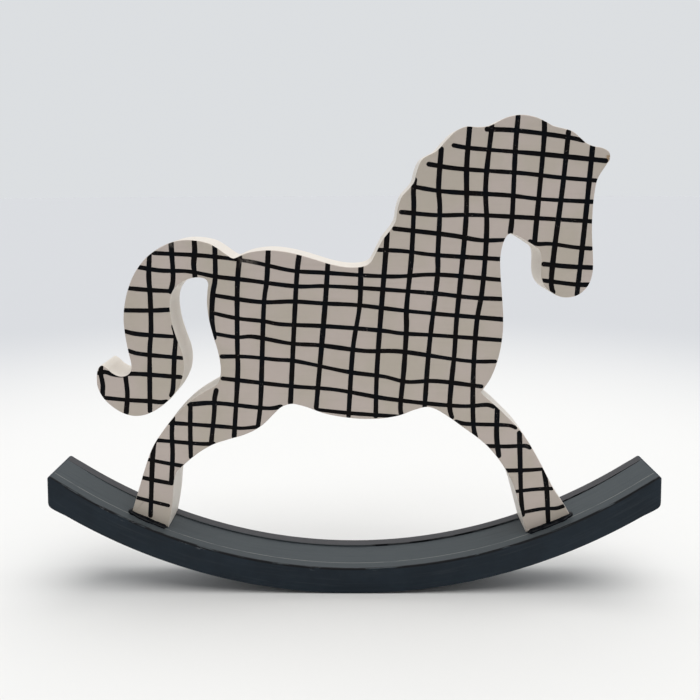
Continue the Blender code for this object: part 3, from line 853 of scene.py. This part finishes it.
def greige_paint():
    """Brushed matt paint, a little uneven in tone, with a chip at the tip of the ear. Its edges and side
    walls are painted lighter than its faces, as painted light from above.
    """
    shader = Shader("greige_paint", {"Specular IOR Level": 0.35})
    mottle = shader.noise(shader.place, size=22.0, detail=4.0)
    brushed = shader.noise(shader.drawn_out(shader.place, 0.06), size=1.6, detail=3.0, roughness=0.6)
    grain = shader.noise(shader.place, size=0.45, detail=3.0, roughness=0.6)
    pores = shader.noise(shader.place, size=1.4, detail=2.0)
    colour = shader.mix(shader.ramp(mottle, 0.36, 0.64), PAINT_OCHRE, PAINT_PINK)
    colour = shader.mix(shader.ramp(brushed, 0.52, 0.8, low=0.0, high=0.35), colour, PAINT_DEEP)
    # Painted light: surfaces that face neither front nor back are painted lighter, as if lit from above
    lit_sides = shader.ramp(shader.facing_y(), 0.75, 0.4)
    lit_sides = shader.calc("MULTIPLY", lit_sides, shader.ramp(grain, 0.25, 0.6, low=0.8, high=1.0))
    colour = shader.mix(lit_sides, colour, PAINT_SIDE_LIT)
    ragged = shader.noise(shader.place, size=0.8, detail=3.0)
    by_ear = shader.near(EAR_CHIP, EAR_CHIP_RADIUS, EAR_CHIP_SOFTNESS)
    chip = shader.calc("MULTIPLY", by_ear, shader.ramp(ragged, 0.42, 0.5))
    colour = shader.mix(chip, colour, BARE_EDGE)
    roughness = shader.ramp(brushed, 0.3, 0.75, low=0.42, high=0.6)
    shader.bump((brushed, 0.035), (grain, 0.014), (pores, 0.02), (chip, -0.12))
    return shader.finish(colour, roughness)


def line_ink():
    """Black marker paint with faint flecks of wear."""
    shader = Shader("line_ink", {"Specular IOR Level": 0.06})
    tone = shader.noise(shader.place, size=5.0, detail=3.0)
    flecks = shader.noise(shader.place, size=0.5, detail=2.0, roughness=0.7)
    sparse = shader.noise(shader.place, size=9.0, detail=1.0)
    fleck = shader.calc("MULTIPLY", shader.ramp(flecks, 0.66, 0.72), shader.ramp(sparse, 0.56, 0.62))
    colour = shader.mix(shader.ramp(tone, 0.35, 0.65), INK_WARM, INK_COOL)
    for place, radius in FADED_INK:
        patchy = shader.ramp(shader.noise(shader.place, size=1.2, detail=3.0), 0.35, 0.6)
        close = shader.near(place, radius, radius * FADED_INK_SOFTNESS)
        faded = shader.calc("MULTIPLY", close, patchy)
        colour = shader.mix(shader.calc("MULTIPLY", faded, FADED_INK_SHARE), colour, PAINT_DEEP)
    colour = shader.mix(shader.calc("MULTIPLY", fleck, 0.35), colour, PAINT_PINK)
    roughness = shader.ramp(tone, 0.3, 0.7, low=0.26, high=0.42)
    shader.bump((tone, 0.05), (flecks, 0.012))
    return shader.finish(colour, roughness)


def charcoal_paint():
    """Blue-black satin paint brushed along the rocker, scuffed where its edges stand proud.

    The pattern lies on rolled-out places: along the arc, across the layers and out from the centre.
    The top is painted lighter, as painted light from above; the raised front seam carries a painted
    highlight and the open rear seam a painted shade.
    """
    shader = Shader("charcoal_paint", {"Specular IOR Level": 0.2})
    down = shader.calc("SUBTRACT", ROCKER_CENTRE_Z, shader.z)
    turn = shader.calc("ARCTAN2", shader.x, down)
    along = shader.calc("MULTIPLY", turn, SEAT_RADIUS)
    out = shader.hypotenuse(shader.x, down)
    rolled = shader.joined(along, shader.y, out)
    streaks = shader.noise(shader.drawn_out(rolled, 0.035), size=0.9, detail=4.0, roughness=0.65)
    broad = shader.noise(shader.drawn_out(rolled, 0.12), size=6.0, detail=3.0)
    clouds = shader.noise(rolled, size=16.0, detail=4.0, roughness=0.6)
    grain = shader.noise(rolled, size=0.35, detail=2.0, roughness=0.7)
    colour = shader.mix(shader.ramp(clouds, 0.35, 0.65), CHARCOAL_DEEP, CHARCOAL_COOL)
    colour = shader.mix(shader.ramp(streaks, 0.5, 0.8, low=0.0, high=0.55), colour, CHARCOAL_LIGHT)
    rear = shader.ramp(shader.y, REAR_SEAM_Y - REAR_PAINT_BLEND, REAR_SEAM_Y + REAR_PAINT_BLEND)
    # Painted light: the top surface is painted lighter, as if lit from above, with brush streaks on it
    off_top = shader.calc("SUBTRACT", out, SEAT_RADIUS)
    upper = shader.ramp(off_top, *LIT_TOP_REACH)
    lit_top = shader.mix(rear, CHARCOAL_TOP_LIT, CHARCOAL_WARM_TOP_LIT)
    lit_top = shader.mix(shader.ramp(streaks, 0.42, 0.72, low=0.0, high=0.5), lit_top, CHARCOAL_LIGHT)
    colour = shader.mix(upper, colour, lit_top)
    thin = shader.noise(shader.drawn_out(rolled, 0.15), size=1.3, detail=3.0, roughness=0.6)
    # Painted highlight: a broken light line along the raised front seam, on the top only
    off_ridge = shader.calc("ABSOLUTE", shader.calc("ADD", shader.y, REAR_SEAM_Y))
    seam_highlight = shader.ramp(off_ridge, *RIDGE_HIGHLIGHT_REACH)
    seam_highlight = shader.calc("MULTIPLY", seam_highlight, shader.ramp(thin, 0.36, 0.5, low=0.35, high=1.0))
    colour = shader.mix(shader.calc("MULTIPLY", seam_highlight, upper), colour, CHARCOAL_RIDGE_HIGHLIGHT)
    # Painted shade: a broken black line along the rear seam over its right-hand half
    off_seam = shader.calc("ABSOLUTE", shader.calc("SUBTRACT", shader.y, REAR_SEAM_Y))
    seam_shade = shader.calc("MULTIPLY", shader.ramp(off_seam, *SEAM_SHADE_REACH), shader.ramp(thin, 0.46, 0.52))
    opens = shader.ramp(shader.x, SEAM_OPENS - SEAM_TAPER, SEAM_OPENS)
    open_seam_shade = shader.calc("MULTIPLY", seam_shade, opens)
    colour = shader.mix(open_seam_shade, colour, CHARCOAL_BLACK)
    off_front = shader.calc("ADD", shader.y, ROCKER_DEPTH / 2)
    off_arris = shader.hypotenuse(off_top, off_front)
    broken = shader.noise(shader.drawn_out(rolled, 0.1), size=1.1, detail=3.0, roughness=0.6)
    dark = shader.ramp(off_arris, *DARK_ARRIS_REACH)
    dark = shader.calc("MULTIPLY", dark, shader.ramp(broken, 0.38, 0.46))
    colour = shader.mix(dark, colour, CHARCOAL_BLACK)
    scuffs = shader.noise(shader.drawn_out(rolled, 0.25), size=1.6, detail=4.0, roughness=0.7)
    gate = shader.noise(rolled, size=24.0, detail=1.0)
    scuff = shader.calc("MULTIPLY", shader.ramp(off_arris, *SCUFF_REACH), shader.ramp(scuffs, 0.56, 0.64))
    scuff = shader.calc("MULTIPLY", scuff, shader.ramp(gate, 0.5, 0.58))
    colour = shader.mix(shader.calc("MULTIPLY", scuff, SCUFF_SHARE), colour, CHARCOAL_SCUFF)
    roughness = shader.ramp(streaks, 0.3, 0.7, low=0.5, high=0.38)
    shader.bump((streaks, 0.05), (broad, 0.12), (grain, 0.01))
    return shader.finish(colour, roughness)


def glue_black():
    """Glossy black glue that set unevenly."""
    shader = Shader("glue_black", {"Specular IOR Level": 0.1})
    tone = shader.noise(shader.place, size=1.4, detail=3.0)
    colour = shader.mix(shader.ramp(tone, 0.4, 0.7), INK_COOL, CHARCOAL_BLACK)
    roughness = shader.ramp(tone, 0.3, 0.7, low=0.2, high=0.4)
    shader.bump((tone, 0.05))
    return shader.finish(colour, roughness)


def screw_steel():
    """Zinc-plated steel with fine turning marks and dulled patches."""
    shader = Shader("screw_steel", {"Metallic": 1.0})
    lines = shader.noise(shader.stretched(shader.place, (1.0, 1.0, 6.0)), size=0.8, detail=3.0)
    patches = shader.noise(shader.place, size=1.8, detail=3.0)
    colour = shader.mix(shader.ramp(patches, 0.4, 0.65), STEEL_BRIGHT, STEEL_DULL)
    roughness = shader.ramp(patches, 0.35, 0.7, low=0.28, high=0.5)
    shader.bump((lines, 0.02))
    return shader.finish(colour, roughness)


def plug_filler():
    """Filler sanded flush and painted over with the rocker."""
    shader = Shader("plug_filler", {"Specular IOR Level": 0.35})
    sanding = shader.noise(shader.stretched(shader.place, (0.3, 2.0, 1.0)), size=0.5, detail=3.0)
    clouds = shader.noise(shader.place, size=2.5, detail=3.0)
    colour = shader.mix(shader.ramp(clouds, 0.35, 0.7), CHARCOAL_DEEP, CHARCOAL_LIGHT)
    roughness = shader.ramp(sanding, 0.3, 0.7, low=0.5, high=0.66)
    shader.bump((sanding, 0.04), (clouds, 0.08))
    return shader.finish(colour, roughness)


def floor_paper():
    """White paper round the object, painted a cool grey farther off as painted shade where the light
    falls off.
    """
    shader = Shader("floor_paper", {"Specular IOR Level": 0.0, "Roughness": 0.9})
    away = shader.hypotenuse(shader.x, shader.y)
    fibres = shader.noise(shader.place, size=1.5, detail=3.0)
    # Painted shade: the floor turns grey farther off, as if the light fell off
    colour = shader.mix(shader.ramp(away, FLOOR_NEAR, FLOOR_FAR), FLOOR_WHITE, FLOOR_GREY_SHADED)
    shader.bump((fibres, 0.01))
    return shader.finish(colour)


# The studio


def make_floor(material):
    bm = bmesh.new()
    rim = []
    for i in range(FLOOR_SIDES):
        angle = 2 * math.pi * i / FLOOR_SIDES
        x = FLOOR_RADIUS * math.cos(angle)
        y = FLOOR_RADIUS * math.sin(angle)
        rim.append(bm.verts.new((x, y, -FLOOR_DROP)))
    bm.faces.new(rim)
    bmesh.ops.scale(bm, vec=(MM, MM, MM), verts=bm.verts)
    mesh = bpy.data.meshes.new("floor")
    bm.to_mesh(mesh)
    bm.free()
    mesh.materials.append(material)
    floor = bpy.data.objects.new("floor", mesh)
    bpy.context.scene.collection.objects.link(floor)


def make_world():
    """A pale surround that the far floor blends into, darker high up behind the camera."""
    world = bpy.data.worlds.new("studio")
    bpy.context.scene.world = world
    world.use_nodes = True
    nodes = Nodes(world.node_tree)
    coordinates = nodes.tree.nodes.new("ShaderNodeTexCoord")
    direction = nodes.split(coordinates.outputs["Generated"])
    climb = nodes.ramp(direction["Z"], SKY_CLIMB_START, SKY_CLIMB_END)
    colour = nodes.mix(climb, SKY_HORIZON, SKY_ABOVE)
    facing = nodes.ramp(direction["Y"], SKY_NEAR_SIDE, SKY_FAR_SIDE, SKY_NEAR_SHADE, 0.0)
    shade = nodes.calc("MULTIPLY", facing, nodes.ramp(direction["Z"], 0.0, SKY_SHADE_HEIGHT))
    background = nodes.tree.nodes["Background"]
    nodes.feed(background.inputs["Color"], colour)
    nodes.feed(background.inputs["Strength"], nodes.calc("SUBTRACT", 1.0, shade))


def make_light():
    """One broad overhead source, a little to the right and to the front."""
    lamp = bpy.data.lights.new("softbox", "SUN")
    lamp.energy = LAMP_ENERGY
    lamp.angle = math.radians(LAMP_SPREAD_DEG)
    lamp.color = LAMP_COLOUR
    light = bpy.data.objects.new("softbox", lamp)
    light.rotation_euler = Vector(LAMP_FROM).to_track_quat("Z", "Y").to_euler()
    bpy.context.scene.collection.objects.link(light)


def make_camera():
    turn = Matrix.Rotation(math.radians(CAMERA_TURN_DEG), 3, "Z")
    tilt = Matrix.Rotation(math.radians(90 - CAMERA_TILT_DEG), 3, "X")
    roll = Matrix.Rotation(math.radians(CAMERA_ROLL_DEG), 3, "Z")
    lens = bpy.data.cameras.new("camera")
    lens.lens = CAMERA_LENS
    lens.sensor_width = SENSOR_WIDTH
    lens.clip_start = 10 * MM
    camera = bpy.data.objects.new("camera", lens)
    camera.matrix_world = Matrix.Translation(Vector(CAMERA_PLACE) * MM) @ (turn @ tilt @ roll).to_4x4()
    bpy.context.scene.collection.objects.link(camera)
    bpy.context.scene.camera = camera


def dress(nodes, material):
    """Gives CAD nodes that are shown as they are a procedural finish."""
    for name in nodes:
        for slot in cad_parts[name].material_slots:
            slot.material = material


# Everything, in order

paint = greige_paint()
ink = line_ink()
charcoal = charcoal_paint()
glue = glue_black()

horse_outline, horse_front_y, horse_rear_y = make_horse(paint)
horse_edge = Edge(horse_outline)
front_strokes = [[Vector(p) for p in stroke] for stroke in UPRIGHT_STROKES + LEVEL_STROKES]
make_grid("front_grid", horse_outline, horse_edge, front_strokes, horse_front_y, -1, ink)
back_strokes = rear_strokes(horse_outline)
make_grid("rear_grid", horse_outline, horse_edge, back_strokes, horse_rear_y, 1, ink)
for layer in ("rocker_front_cheek", "rocker_core", "rocker_rear_cheek"):
    make_layer(layer, charcoal)
make_glue("hind_foot_bead", "hind_foot_glue", horse_front_y, glue)
make_glue("fore_foot_bead", "fore_foot_glue", horse_front_y, glue)
dress(HIDDEN_SCREWS, screw_steel())
dress(HIDDEN_PLUGS, plug_filler())

make_floor(floor_paper())
make_world()
make_light()
make_camera()
bpy.context.scene.view_settings.view_transform = "Standard"
